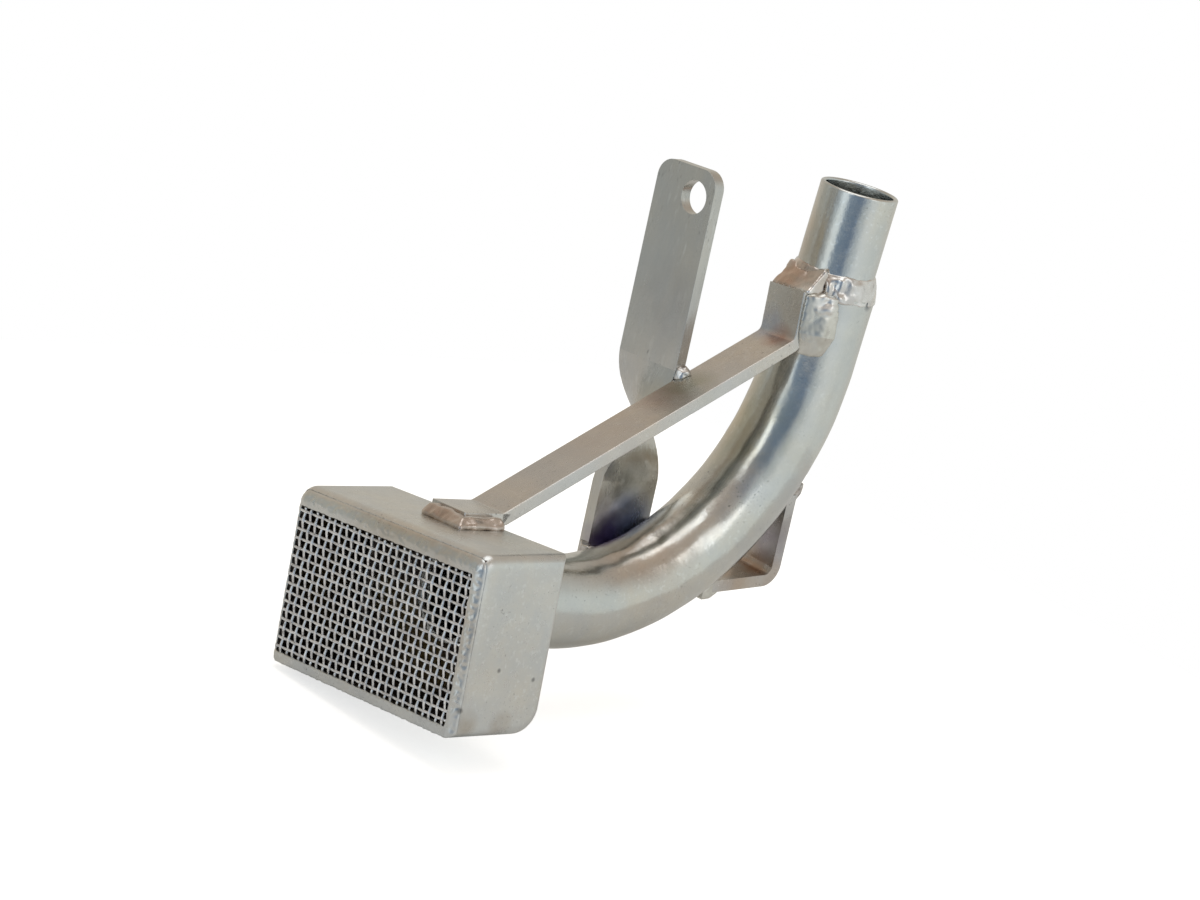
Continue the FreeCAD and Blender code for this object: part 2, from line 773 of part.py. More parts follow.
leg_foot_z = bracket_low_leg + bracket_twist_length
round_edges(
    mounting_bracket,
    "TopCorners",
    lambda e: near(e.Length, bracket_thickness)
    and e.CenterOfMass.z > leg_foot_z + 0.9 * bracket_high_leg,
    "bracket_corner",
)

hole_up = size("hole_up", leg_foot_z + bracket_high_leg - bracket_hole_down)
hole_half = size("hole_half", bracket_hole / 2)
hole_cut = size("hole_cut", bracket_thickness * 2)
bolt = new_sketch(mounting_bracket, "BoltHole", "YZ_Plane", "bracket_thickness")
circle(bolt, "-bracket_hole_aside", "hole_up", "hole_half")
pocket(mounting_bracket, "BoltCut", bolt, "hole_cut")

# welds

# ring between tube and box
ring_raw = new_body("BoxRingRaw")
place(ring_raw, "box_back_x", "", "tube_exit_z", "tube_exit_dip")
ring_back = size("ring_back", -2.0)
ring_mid = size("ring_mid", 0.45 * box_ring_weld)
ring_far = size("ring_far", box_ring_weld)
ring_mid_radius = size("ring_mid_radius", tube_radius + 0.6 * box_ring_weld)
ring_out_radius = size("ring_out_radius", tube_radius + box_ring_weld)
box_ring = new_sketch(ring_raw, "BoxRingProfile", "XY_Plane")
polygon(
    box_ring,
    [
        ("ring_back", "tube_radius"),
        ("ring_far", "tube_radius"),
        ("ring_mid", "ring_mid_radius"),
        ("", "ring_out_radius"),
        ("ring_back", "ring_out_radius"),
    ],
)
revolve(ring_raw, "BoxRing", box_ring, "X_Axis")
weld_tube_box = cut("weld_tube_box", ring_raw, [box_core])

# brace tab to box: round the tab's end and along its near side
bead_out_x = size("bead_out_x", tab_end_x - bead_width)
bead_in_x = size("bead_in_x", tab_end_x)
bead_far_x = size("bead_far_x", tab_end_x + 0.78 * brace_tab)
bead_near_y = size("bead_near_y", -half_strap - bead_width)
bead_far_y = size("bead_far_y", half_strap - 2)
bead_slope = size("bead_slope", bead_height * 0.7)
weld_brace_box = new_body("weld_brace_box")
place_on_box_top(weld_brace_box)
bead = new_sketch(weld_brace_box, "BoxBead", "XY_Plane")
polygon(
    bead,
    [
        ("bead_out_x", "bead_near_y"),
        ("bead_far_x", "bead_near_y"),
        ("bead_far_x", "-half_strap"),
        ("bead_in_x", "-half_strap"),
        ("bead_in_x", "bead_far_y"),
        ("bead_out_x", "bead_far_y"),
    ],
)
pad(weld_brace_box, "BoxBeadPad", bead, "bead_height")


def bead_outer_edge(edge):
    middle = edge.CenterOfMass
    if not near(middle.z, bead_height):
        return False
    return near(middle.x, bead_out_x) or near(middle.y, bead_near_y)


round_edges(weld_brace_box, "BoxBeadSlope", bead_outer_edge, "bead_slope", "Chamfer")

# brace tab to tube, both sides and above
stub_core = doc.addObject("Part::Cylinder", "StubEnvelope")
stub_core.Radius = stub_radius
stub_core.Height = stub_length
stub_core.Placement.Base = FreeCAD.Vector(0, 0, -stub_length)
stub_core.setExpression("Radius", "Sizes.stub_radius")
stub_core.setExpression("Height", "Sizes.stub_length")
stub_core.setExpression("Placement.Base.z", "-Sizes.stub_length")

bead_start_x = size("bead_start_x", front_x + bead_inset)
bead_crest_x = size("bead_crest_x", front_x + 2 * strap_thickness)
bead_deep_x = size("bead_deep_x", back_x + bead_depth)
bead_side_y = size("bead_side_y", half_strap + side_bead)
bead_low_z = size("bead_low_z", back_vertex_z - strap_thickness / 2)
bead_run = size("bead_run", tab_top_z - bead_low_z - bead_inset)
for label, sign in (("weld_brace_tube_near", "-"), ("weld_brace_tube_far", "")):
    raw = new_body(label + "_raw")
    place_on_box_top(raw)
    side = new_sketch(raw, label + "_section", "XY_Plane", "bead_low_z")
    polygon(
        side,
        [
            ("bead_start_x", sign + "half_strap"),
            ("bead_crest_x", sign + "bead_side_y"),
            ("bead_deep_x", sign + "bead_side_y"),
            ("bead_deep_x", sign + "half_strap"),
        ],
    )
    pad(raw, label + "_pad", side, "bead_run")
    cut(label, raw, [tube_core, weld_stub_ring, stub_core])

cap_width = size("cap_width", strap_width - side_bead / 2)
cap_top_z = tab_top_z + cap_rise
cap_top_x = back_x + tube_radius - stub_radius + bead_inset
cap_corners = [
    corner("cap_front", front_x + bead_inset, tab_top_z),
    corner("cap_back", back_x + bead_depth, tab_top_z),
    corner("cap_top", cap_top_x, cap_top_z),
]
cap_raw = new_body("BraceCapRaw")
place_on_box_top(cap_raw)
cap_side = new_sketch(cap_raw, "BraceCapProfile", "XZ_Plane")
polygon(cap_side, cap_corners)
pad(cap_raw, "BraceCap", cap_side, "cap_width", both=True)
cut("weld_brace_tube_top", cap_raw, [tube_core, weld_stub_ring, stub_core])

# bracket's lower leg to the tube's far side, along both edges
leg_out = size("leg_out", half_bar + side_bead)
leg_face = size("leg_face", 0.8 * bracket_thickness - half_plate)
leg_deep = size("leg_deep", -half_plate - 3.0)
leg_toe = size("leg_toe", -half_plate - 0.6)
rear_bead_low = size("rear_bead_low", leg_bead_low + 0.6 * (rear_seat.z - front_seat.z))
for label, inner, outer, low in (
    ("weld_bracket_front", "-half_bar", "-leg_out", "leg_bead_low"),
    ("weld_bracket_rear", "half_bar", "leg_out", "rear_bead_low"),
):
    raw = new_body(label + "_raw")
    place_as_bracket(raw)
    side = new_sketch(raw, label + "_section", "XY_Plane", low)
    polygon(
        side,
        [(inner, "leg_deep"), (outer, "leg_deep"), (outer, "leg_toe"), (inner, "leg_face")],
    )
    pad(raw, label + "_pad", side, "leg_bead_run")
    cut(label, raw, [tube_core])

# tack where the bracket's edge meets the brace's far edge
tack_ball = doc.addObject("Part::Sphere", "TackBall")
size("tack_x", meet.x + 0.6)
size("tack_y", meet.y)
size("tack_z", meet.z + 0.4)
tack_ball.Radius = tack_radius
tack_ball.setExpression("Radius", "Sizes.tack_radius")
tack_ball.Placement.Base = FreeCAD.Vector(cells["tack_x"], cells["tack_y"], cells["tack_z"])
for letter in "xyz":
    tack_ball.setExpression("Placement.Base." + letter, "Sizes.tack_" + letter)
weld_bracket_brace = cut("weld_bracket_brace", tack_ball, [brace_strap, mounting_bracket])

# foot angle to tube: a bead over the outside of each coped end
foot_bead_width = size("foot_bead_width", strap_width)


def end_bead(label, outer, inner, along, inward):
    """A bead past a strap's end, from its outer face up onto the tube."""

    def spot(name, reach_out, step):
        return corner(
            label + name,
            cells[outer[0]] + reach_out * along[0] + step * inward[0],
            cells[outer[1]] + reach_out * along[1] + step * inward[1],
        )

    outline = [
        spot("_heel", -foot_bead * 0.8, 0.5),
        spot("_root", -foot_bead * 0.8, 0.0),
        spot("_crown", 0.0, -foot_bead * 0.6),
        spot("_toe", foot_bead * 1.35, -foot_bead * 0.7),
        spot("_tip", foot_bead * 1.35, foot_bead * 0.8),
        inner,
    ]
    raw = new_body(label + "_raw")
    side = new_sketch(raw, label + "_profile", "XZ_Plane")
    polygon(side, outline)
    pad(raw, label + "_pad", side, "foot_bead_width", both=True)
    return cut(label, raw, [tube_core, foot_blank])


end_bead("weld_foot_upper", foot_corners[1], foot_corners[2], up_way, up_in)
end_bead("weld_foot_lower", foot_corners[5], foot_corners[4], base_way, base_in)

# check and export

NODES = [
    "strainer_box",
    "screen_mesh",
    "weld_screen",
    "main_tube",
    "pump_stub",
    "brace_strap",
    "mounting_bracket",
    "foot_angle",
    "weld_stub_ring",
    "weld_tube_box",
    "weld_brace_box",
    "weld_brace_tube_near",
    "weld_brace_tube_far",
    "weld_brace_tube_top",
    "weld_bracket_front",
    "weld_bracket_rear",
    "weld_bracket_brace",
    "weld_foot_upper",
    "weld_foot_lower",
]

doc.recompute()
for item in doc.Objects:
    if "Invalid" in item.State or "Error" in item.State:
        raise ValueError(item.Label + " did not compute")
for label in NODES:
    node = doc.getObjectsByLabel(label)[0]
    shape = node.Shape
    if shape.isNull() or not shape.isValid():
        raise ValueError(label + " has no valid shape")
    print(label, "solids", len(shape.Solids), "volume %.2f" % shape.Volume)
    shape.exportStep("parts/%s.step" % label)
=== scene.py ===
import math
from collections import namedtuple

import bmesh
import bpy
from mathutils import Matrix, Vector, noise


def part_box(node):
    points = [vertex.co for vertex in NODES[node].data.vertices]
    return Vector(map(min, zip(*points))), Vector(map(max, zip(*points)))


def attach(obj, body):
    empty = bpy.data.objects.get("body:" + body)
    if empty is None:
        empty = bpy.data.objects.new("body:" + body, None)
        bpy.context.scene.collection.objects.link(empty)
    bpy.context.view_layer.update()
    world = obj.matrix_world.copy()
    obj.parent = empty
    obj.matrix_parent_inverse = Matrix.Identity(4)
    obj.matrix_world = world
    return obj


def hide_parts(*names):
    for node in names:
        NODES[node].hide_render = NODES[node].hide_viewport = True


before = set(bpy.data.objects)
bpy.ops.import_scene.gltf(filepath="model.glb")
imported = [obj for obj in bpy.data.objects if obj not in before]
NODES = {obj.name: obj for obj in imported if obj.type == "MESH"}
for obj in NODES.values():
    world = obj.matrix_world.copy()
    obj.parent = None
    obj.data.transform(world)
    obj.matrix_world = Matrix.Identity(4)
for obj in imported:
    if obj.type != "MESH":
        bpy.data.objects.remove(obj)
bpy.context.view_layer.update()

# Lengths are in millimetres unless said otherwise, and MM turns them into metres
MM = 0.001

# Tube and stub, as in the part's source. The bore is 0.02 wider and so inside the wall,
# and the low run goes on through the box's back
STUB_RADIUS = 9.525
STUB_WALL = 1.2
STUB_LENGTH = 32.7
STUB_REACH = 24.7
TUBE_RADIUS = 11.1
TUBE_BORE = 9.62
TOP_RUN = 17.9
BEND_RADIUS = 62.2
DIP = math.radians(3.74)
LOW_RUN = 30.3
# Box: rolled about X, with its base at the middle of its lower front edge
ROLL = math.radians(7)
BOX_BASE = Vector((-119.48, -2.815, -125.85))
BOX_WIDTH, BOX_DEPTH, BOX_HEIGHT = 62.5, 26.2, 41.0
SCREEN_LEFT, SCREEN_RIGHT = -28.3, 30.0
SCREEN_LOW, SCREEN_HIGH = 2.3, 36.3
# Bracket: its foot, the way it stands, and the quarter twist along it
BRACKET_BASE = Vector((-34.893, 12.52, -103.585))
BRACKET_WAY = Vector((-0.02089, 0.0691, 0.99739)).normalized()
TWIST_START = 23.7
TWIST_LENGTH = 29.8
TWIST_EASE = 0.8
TWIST_CUTS = 24
# Screen: woven wire, close to twelve wires to the inch
WIRES_ACROSS = 27
WIRES_UP = 16
WIRE_RADIUS = 0.38


# Node trees


class Tree:
    """A short way to build the node tree of a material or a world."""

    def __init__(self, owner):
        owner.use_nodes = True
        self.nodes = owner.node_tree.nodes
        self.links = owner.node_tree.links
        self.nodes.clear()

    def node(self, kind, **settings):
        """A new node with its own settings, such as its operation."""
        new = self.nodes.new("ShaderNode" + kind)
        for key, value in settings.items():
            setattr(new, key, value)
        return new

    def link(self, source, socket):
        """Feeds a socket from another node, or sets it to a plain value."""
        if hasattr(source, "links"):
            self.links.new(source, socket)
        else:
            socket.default_value = source

    def feed(self, node, **sources):
        """Feeds a node's inputs by name, with an underscore for each space."""
        for key, source in sources.items():
            self.link(source, node.inputs[key.replace("_", " ")])
        return node

    def ramp(self, value, low, high, start=0.0, end=1.0, kind="LINEAR"):
        """Maps low..high to start..end, held at both ends."""
        new = self.node("MapRange", interpolation_type=kind)
        self.feed(new, Value=value, From_Min=low, From_Max=high, To_Min=start, To_Max=end)
        return new.outputs["Result"]

    def math(self, kind, a, b=0.0):
        new = self.node("Math", operation=kind)
        self.link(a, new.inputs[0])
        self.link(b, new.inputs[1])
        return new.outputs[0]

    def mix(self, share, a, b):
        """The first colour where the share is zero, and the second where it is one."""
        new = self.node("Mix", data_type="RGBA")
        return self.feed(new, Factor=share, A=a, B=b).outputs["Result"]

    def split(self, vector):
        """The X, Y and Z of a vector."""
        return self.feed(self.node("SeparateXYZ"), Vector=vector).outputs


# A layer of noise: how many ripples there are to the metre, its detail and roughness, and
# the band of its values over which it comes in
Layer = namedtuple("Layer", "scale detail rough low high", defaults=(0.0, 1.0))
# The lift that a bump gives, as its strength and its height in metres; minus sinks it
Relief = namedtuple("Relief", "strength height")
EVENLY = (1, 1, 1)
# A spot has its full strength out to this share of its radius
SPOT_CORE = 0.35


class Surface(Tree):
    """The node tree of one material, placed by the object's own coordinates."""

    def __init__(self, name):
        self.material = bpy.data.materials.new(name)
        super().__init__(self.material)
        self.out = self.node("OutputMaterial")
        self.coords = self.node("TexCoord").outputs["Object"]

    def noise(self, layer, stretch=EVENLY):
        """The values of a layer, drawn out along the axes where the stretch is small."""
        where = self.feed(self.node("Mapping"), Scale=stretch, Vector=self.coords)
        new = self.node("TexNoise")
        self.feed(new, Scale=layer.scale, Detail=layer.detail, Roughness=layer.rough)
        self.feed(new, Vector=where.outputs["Vector"])
        return new.outputs["Fac"]

    def band(self, layer, start=0.0, end=1.0, stretch=EVENLY):
        """From start to end as the layer comes in over its band."""
        return self.ramp(self.noise(layer, stretch), layer.low, layer.high, start, end)

    def near(self, spot, radius):
        """One at a spot in millimetres, falling to zero at the radius."""
        new = self.node("VectorMath", operation="DISTANCE")
        self.link(self.coords, new.inputs[0])
        new.inputs[1].default_value = [v * MM for v in spot]
        return self.ramp(new.outputs["Value"], radius * MM, radius * SPOT_CORE * MM)

    def bump(self, height, relief, normal=None, times=1.0):
        new = self.node("Bump")
        self.feed(new, Strength=relief.strength * times, Distance=relief.height, Height=height)
        if normal is not None:
            self.link(normal, new.inputs["Normal"])
        return new.outputs["Normal"]

    def metal(self, color, roughness, normal):
        new = self.node("BsdfPrincipled")
        self.feed(new, Metallic=1.0, Base_Color=color, Roughness=roughness, Normal=normal)
        self.link(new.outputs["BSDF"], self.out.inputs["Surface"])
        return self.material


def rgb(r, g, b):
    return (r, g, b, 1.0)


def shaded(base, by):
    """The colour with its channels multiplied."""
    return [c * k for c, k in zip(base, by)]


# Plated steel


DRIFT = Layer(32, 3, 0.55, 0.38, 0.62)
CLOUD = Layer(120, 5, 0.6, 0.38, 0.66)
SPECK = Layer(1700, 3, 0.6, 0.62, 0.72)
PATCH = Layer(70, 2, 0.55, 0.42, 0.60)
SHINE = Layer(900, 3, 0.6, 0.56, 0.68)
TINT_EDGE = Layer(190, 3, 0.55, 0.3, 0.55)
WEAR = Layer(300, 5, 0.6, 0.3, 0.7)
# Patches of amber glint painted into the shade inside the box
PAINTED_GLINT_PATCH = Layer(70, 2, 0.55, 0.50, 0.62)
WAVE = Layer(45, 2, 0.5)
GRAIN = Layer(700, 4, 0.6)
DENT = Layer(420, 1, 0.5, 0.66, 0.78)
PIT = Layer(2300, 2, 0.5, 0.60, 0.68)
# Bands of the drift over which shine and pits come in
SHINE_BAND = (0.35, 0.6)
PIT_BAND = (0.40, 0.56)

WAVE_HEIGHT = 0.0010
GRAIN_RELIEF = Relief(0.13, 0.0002)
DENT_RELIEF = Relief(-0.5, 0.00025)
PIT_RELIEF = Relief(-0.35, 0.0001)

# How each layer changes the colour, and how strongly
DRIFT_WARM = (1.04, 0.99, 0.92, 1)
CLOUD_COOL = (0.84, 0.87, 0.92, 1)
CLOUD_SHARE = 0.5
SHINE_SHARE = 0.5
SHINE_LIFT = 1.22
SPECK_SHARE = 0.6
SPECK_BLACK = rgb(0.12, 0.12, 0.13)
TINT_LEAST = 0.45
SMOOTHER, ROUGHER = 0.05, 0.07
# Painted shade inside the box: how much it covers, how rough it makes the inside, and its near black with
# amber patches painted in as glints
PAINTED_SHADE_SHARE = 0.95
PAINTED_SHADE_ROUGHNESS = 0.6
PAINTED_SHADE_BLACK = rgb(0.085, 0.058, 0.048)
PAINTED_GLINT_AMBER = rgb(0.20, 0.14, 0.04)
# The inside of the box starts this far behind its outer faces, just short of the wall
INSIDE_DEPTH = 1.05
INSIDE_BLEND = 0.1


def zinc(name, base, rough, grain, waves, streak=EVENLY, tints=(), paint_inside_shade=False):
    """Plated steel: fine grain, shallow dents, specks, drift in colour, heat tints and painted reflections,
    and painted shade inside the box when asked.

    A tint is a spot and its radius in millimetres, a colour and a strength.
    """
    tree = Surface(name)
    drift = tree.noise(DRIFT)
    cloud = tree.band(CLOUD, 0.0, CLOUD_SHARE, streak)
    speck = tree.band(SPECK, stretch=streak)
    patch = tree.band(PATCH)
    color = tree.mix(tree.ramp(drift, DRIFT.low, DRIFT.high), base, shaded(base, DRIFT_WARM))
    color = tree.mix(cloud, color, shaded(base, CLOUD_COOL))
    shine = tree.math("MULTIPLY", tree.band(SHINE, 0.0, SHINE_SHARE, streak), tree.ramp(drift, *SHINE_BAND))
    color = tree.mix(shine, color, [min(1, c * SHINE_LIFT) for c in base])
    specks = tree.math("MULTIPLY", tree.math("MULTIPLY", speck, patch), SPECK_SHARE)
    color = tree.mix(specks, color, SPECK_BLACK)
    for spot, radius, tint, strength in tints:
        share = tree.math("MULTIPLY", tree.near(spot, radius), tree.band(TINT_EDGE, TINT_LEAST, 1.0))
        color = tree.mix(tree.math("MULTIPLY", share, strength), color, tint)
    roughness = tree.band(WEAR, rough - SMOOTHER, rough + ROUGHER, streak)
    # The inside of the box gets painted shade: near black with amber patches painted in as glints, and
    # rougher
    if paint_inside_shade:
        deep = inside_box(tree)
        painted_inside_shade = tree.mix(tree.band(PAINTED_GLINT_PATCH), PAINTED_SHADE_BLACK, PAINTED_GLINT_AMBER)
        color = tree.mix(tree.math("MULTIPLY", deep, PAINTED_SHADE_SHARE), color, painted_inside_shade)
        roughness = tree.math("MAXIMUM", roughness, tree.math("MULTIPLY", deep, PAINTED_SHADE_ROUGHNESS))
    normal = tree.bump(tree.noise(WAVE), Relief(waves, WAVE_HEIGHT), times=grain)
    normal = tree.bump(tree.noise(GRAIN, streak), GRAIN_RELIEF, normal, grain)
    dents = tree.math("MULTIPLY", tree.band(DENT), patch)
    normal = tree.bump(dents, DENT_RELIEF, normal, grain)
    pits = tree.math("MULTIPLY", tree.band(PIT), tree.ramp(drift, *PIT_BAND))
    normal = tree.bump(pits, PIT_RELIEF, normal, grain)
    return tree.metal(color, roughness, normal)


def inside_box(tree):
    """One on the faces inside the strainer box, where shade is painted, measured in the box's own frame.

    The rounded lower back edge is deep enough at its middle that a thin strip of its
    outer face counts as inside too.
    """
    start = -(Matrix.Rotation(ROLL, 3, "X") @ BOX_BASE) * MM
    turned = tree.feed(tree.node("Mapping"), Location=start, Rotation=(ROLL, 0, 0), Vector=tree.coords)
    place = tree.split(turned.outputs["Vector"])
    beside = tree.math("SUBTRACT", tree.math("ABSOLUTE", place["Y"]), (BOX_WIDTH / 2 - INSIDE_DEPTH) * MM)
    above = tree.math("SUBTRACT", place["Z"], BOX_HEIGHT / 2 * MM)
    above = tree.math("SUBTRACT", tree.math("ABSOLUTE", above), (BOX_HEIGHT / 2 - INSIDE_DEPTH) * MM)
    behind = tree.math("SUBTRACT", place["X"], (BOX_DEPTH - INSIDE_DEPTH) * MM)
    out = tree.math("MAXIMUM", tree.math("MAXIMUM", beside, above), behind)
    return tree.ramp(out, 0.0, -INSIDE_BLEND * MM)


# Weld metal and wire


BEAD = Layer(230, 3, 0.5, 0.35, 0.65)
SOOT = Layer(420, 2, 0.55, 0.60, 0.70)
BEAD_WEAR = Layer(330, 3, 0.55, 0.3, 0.7)
DIMPLE = Layer(260, 2, 0.4)
BEAD_GRAIN = Layer(1300, 2, 0.5)
DIMPLE_RELIEF = Relief(0.22, 0.0005)
BEAD_GRAIN_RELIEF = Relief(0.06, 0.0002)
BEAD_SPREAD = 0.10
SOOT_BLACK = rgb(0.16, 0.14, 0.14)

WIRE_TONE = Layer(500, 3, 0.55, 0.35, 0.65)
WIRE_SOOT = Layer(1500, 2, 0.55, 0.60, 0.70)
WIRE_WEAR = Layer(900, 3, 0.55, 0.3, 0.7)
WIRE_GRAIN = Layer(2400, 2, 0.55)
WIRE_RELIEF = Relief(0.2, 0.0001)
WIRE_BRIGHT = rgb(0.95, 0.96, 0.97)
WIRE_DULL = rgb(0.66, 0.66, 0.67)
WIRE_BLACK = rgb(0.14, 0.12, 0.10)
WIRE_ROUGHNESS = (0.16, 0.30)
WIRE_SOOT_SHARE = 0.6


def weld_metal(name, dull, bright, soot, rough=0.24, tints=()):
    """Weld metal: soft bright lumps, with soot in patches and heat colours at spots."""
    tree = Surface(name)
    color = tree.mix(tree.band(BEAD), rgb(*dull), rgb(*bright))
    color = tree.mix(tree.band(SOOT, 0.0, soot), color, SOOT_BLACK)
    for spot, radius, tint, strength in tints:
        color = tree.mix(tree.math("MULTIPLY", tree.near(spot, radius), strength), color, tint)
    roughness = tree.band(BEAD_WEAR, rough - BEAD_SPREAD, rough + BEAD_SPREAD)
    normal = tree.bump(tree.noise(DIMPLE), DIMPLE_RELIEF)
    normal = tree.bump(tree.noise(BEAD_GRAIN), BEAD_GRAIN_RELIEF, normal)
    return tree.metal(color, roughness, normal)


def wire_metal(name):
    """Bright drawn wire with a little soot."""
    tree = Surface(name)
    color = tree.mix(tree.band(WIRE_TONE), WIRE_BRIGHT, WIRE_DULL)
    color = tree.mix(tree.band(WIRE_SOOT, 0.0, WIRE_SOOT_SHARE), color, WIRE_BLACK)
    roughness = tree.band(WIRE_WEAR, *WIRE_ROUGHNESS)
    return tree.metal(color, roughness, tree.bump(tree.noise(WIRE_GRAIN), WIRE_RELIEF))


# Meshes


# Points closer than this are one point
MERGE = 0.01


def dress(obj, material, node, smooth=True):
    """Puts a finished mesh into the scene as part of the object, in a CAD node's place."""
    bpy.context.scene.collection.objects.link(obj)
    obj.data.materials.clear()
    obj.data.materials.append(material)
    if smooth:
        obj.data.shade_smooth()
    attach(obj, "root")
    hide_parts(node)


def add_object(name, verts, faces, material, node):
    mesh = bpy.data.meshes.new(name)
    mesh.from_pydata([tuple(v) for v in verts], [], faces)
    mesh.update()
    dress(bpy.data.objects.new(name, mesh), material, node)


def copy_node(name, new_name):
    """A loose copy of a CAD node's mesh."""
    return bpy.data.objects.new(new_name, NODES[name].data.copy())


def applied(obj):
    """The object's mesh with its modifiers applied."""
    bpy.context.scene.collection.objects.link(obj)
    graph = bpy.context.evaluated_depsgraph_get()
    mesh = bpy.data.meshes.new_from_object(obj.evaluated_get(graph))
    bpy.context.scene.collection.objects.unlink(obj)
    return mesh


def move_vertices(mesh, places):
    for v, place in zip(mesh.vertices, places):
        v.co = place
    mesh.update()


# Tube and stub


TUBE_SIDES = 96
TOP_STEPS, BEND_STEPS, LOW_STEPS = 6, 110, 8
# How far in the tube's skin lies, how much it waves, and how often round and along it
TUBE_SHY = 0.08
TUBE_WAVER = 0.10
WAVER_ROUND, WAVER_ALONG = 3, 0.16
# A ring just below the top holds its edge crisp, and the rims are eased
HOLD = 0.1
RIM_OUTSIDE = 0.35
RIM_INSIDE = 0.2

STUB_SIDES = 128
STUB_STEPS = 12
# How far in the stub's skin lies, and how deep its rolled rim is
STUB_SHY = 0.02
STUB_RIM = 0.6


def ring_round(centre, out, side, radius, count, offset=None):
    """A ring of points round a centre, laid between two directions."""
    ring = []
    for k in range(count):
        a = 2 * math.pi * k / count
        r = radius + (offset(a) if offset else 0.0)
        ring.append((centre + r * (math.cos(a) * out + math.sin(a) * side)) * MM)
    return ring


def ring_across(centre, way, radius, count, offset=None):
    """A ring of points square to a way that lies in the XZ plane."""
    side = Vector((0, 1, 0))
    return ring_round(centre, way.cross(side).normalized(), side, radius, count, offset)


def ring_sweep(rings, closed_path=False):
    """Faces between rings of equal length: each ring closes on itself."""
    count = len(rings[0])
    verts = [v for ring in rings for v in ring]
    faces = []
    last = len(rings) if closed_path else len(rings) - 1
    for i in range(last):
        j = (i + 1) % len(rings)
        for k in range(count):
            m = (k + 1) % count
            faces.append((i * count + k, i * count + m, j * count + m, j * count + k))
    return verts, faces


def tube_axis():
    """Points on the main tube's axis from its top to its lower mouth, with directions."""
    down = Vector((0, 0, -1))
    top = STUB_REACH * down
    centre = top + TOP_RUN * down + Vector((-BEND_RADIUS, 0, 0))
    path = [(top + i / TOP_STEPS * TOP_RUN * down, down) for i in range(TOP_STEPS)]
    sweep = math.pi / 2 + DIP
    for i in range(BEND_STEPS + 1):
        turn = sweep * i / BEND_STEPS
        out = Vector((math.cos(turn), 0, -math.sin(turn)))
        path.append((centre + BEND_RADIUS * out, Vector((-math.sin(turn), 0, -math.cos(turn)))))
    end, way = path[-1]
    path += [(end + i / LOW_STEPS * LOW_RUN * way, way) for i in range(1, LOW_STEPS + 1)]
    return path


def make_main_tube(material):
    """Drawn tube, a little uneven where the bender held it."""
    path = tube_axis()
    top, down = path[0]
    end, way = path[-1]
    path.insert(1, (top + HOLD * down, down))

    def waver(i):
        def offset(a):
            spot = Vector((WAVER_ROUND * math.cos(a), WAVER_ROUND * math.sin(a), i * WAVER_ALONG))
            return TUBE_WAVER * noise.noise(spot)
        return offset

    rings = []
    for i, (centre, along) in enumerate(path):
        rings.append(ring_across(centre, along, TUBE_RADIUS - TUBE_SHY, TUBE_SIDES, waver(i)))
    rings.append(ring_across(end, way, TUBE_RADIUS - RIM_OUTSIDE, TUBE_SIDES))
    rings.append(ring_across(end, way, TUBE_BORE + RIM_INSIDE, TUBE_SIDES))
    for centre, along in reversed(path):
        rings.append(ring_across(centre, along, TUBE_BORE, TUBE_SIDES))
    rings.append(ring_across(top, down, TUBE_BORE + RIM_INSIDE, TUBE_SIDES))
    verts, faces = ring_sweep(rings[::-1], closed_path=True)
    add_object("dressed_main_tube", verts, faces, material, "main_tube")


def make_stub(material):
    """Thin stub with a rolled rim."""
    down = Vector((0, 0, -1))
    bore = STUB_RADIUS - STUB_WALL
    middle = (STUB_RADIUS + bore) / 2

    def ring(depth, radius):
        return ring_across(depth * down, down, radius, STUB_SIDES)

    def depth_at(i):
        return STUB_RIM + (STUB_LENGTH - STUB_RIM) * i / STUB_STEPS

    rings = [ring(depth_at(STUB_STEPS - i), STUB_RADIUS - STUB_SHY) for i in range(STUB_STEPS + 1)]
    for i in range(1, STUB_STEPS):
        a = math.pi * i / STUB_STEPS
        rings.append(ring(STUB_RIM * (1 - math.sin(a)), middle + STUB_WALL / 2 * math.cos(a)))
    rings += [ring(depth_at(i), bore) for i in range(STUB_STEPS + 1)]
    verts, faces = ring_sweep(rings, closed_path=True)
    add_object("dressed_pump_stub", verts, faces, material, "pump_stub")


# Welds


# Ripples to the millimetre of the big and small lumps, and their shares of the height
BIG_LUMP, SMALL_LUMP = 0.38, 0.9
BIG_SHARE, SMALL_SHARE = 1.2, 0.55
BOIL_LUMP = 0.5
# Each seed starts its noise this much further on
SEED_STEP = (7.1, 3.3, 1.7)
# A tapering weld has this share of its width at its foot, and widens at this rate
TAPER_FOOT = 0.68
TAPER_RATE = 0.9
# What lies this near to a weld's lowest point is its foot
FOOT_HEIGHT = 0.1
WELD_SOFTNESS = 0.6


def melted(obj, voxel, softness, rounds):
    """The object's mesh melted down: remeshed in small cubes, then softened."""
    remesh = obj.modifiers.new("melt", "REMESH")
    remesh.mode = "VOXEL"
    remesh.voxel_size = voxel * MM
    soften = obj.modifiers.new("soften", "SMOOTH")
    soften.factor = softness
    soften.iterations = rounds
    return applied(obj)


def island_from(vert, left):
    """Takes the vertices joined to this one out of those that are left."""
    left.remove(vert)
    island = {vert}
    front = [vert]
    while front:
        for edge in front.pop().link_edges:
            for v in edge.verts:
                if v in left:
                    left.remove(v)
                    island.add(v)
                    front.append(v)
    return island


def keep_largest(mesh):
    """Drops crumbs that the melting left beside the weld."""
    bm = bmesh.new()
    bm.from_mesh(mesh)
    left = set(bm.verts)
    islands = []
    while left:
        islands.append(island_from(next(iter(left)), left))
    crumbs = sorted(islands, key=len)[:-1]
    bmesh.ops.delete(bm, geom=[v for island in crumbs for v in island], context="VERTS")
    bm.to_mesh(mesh)
    bm.free()


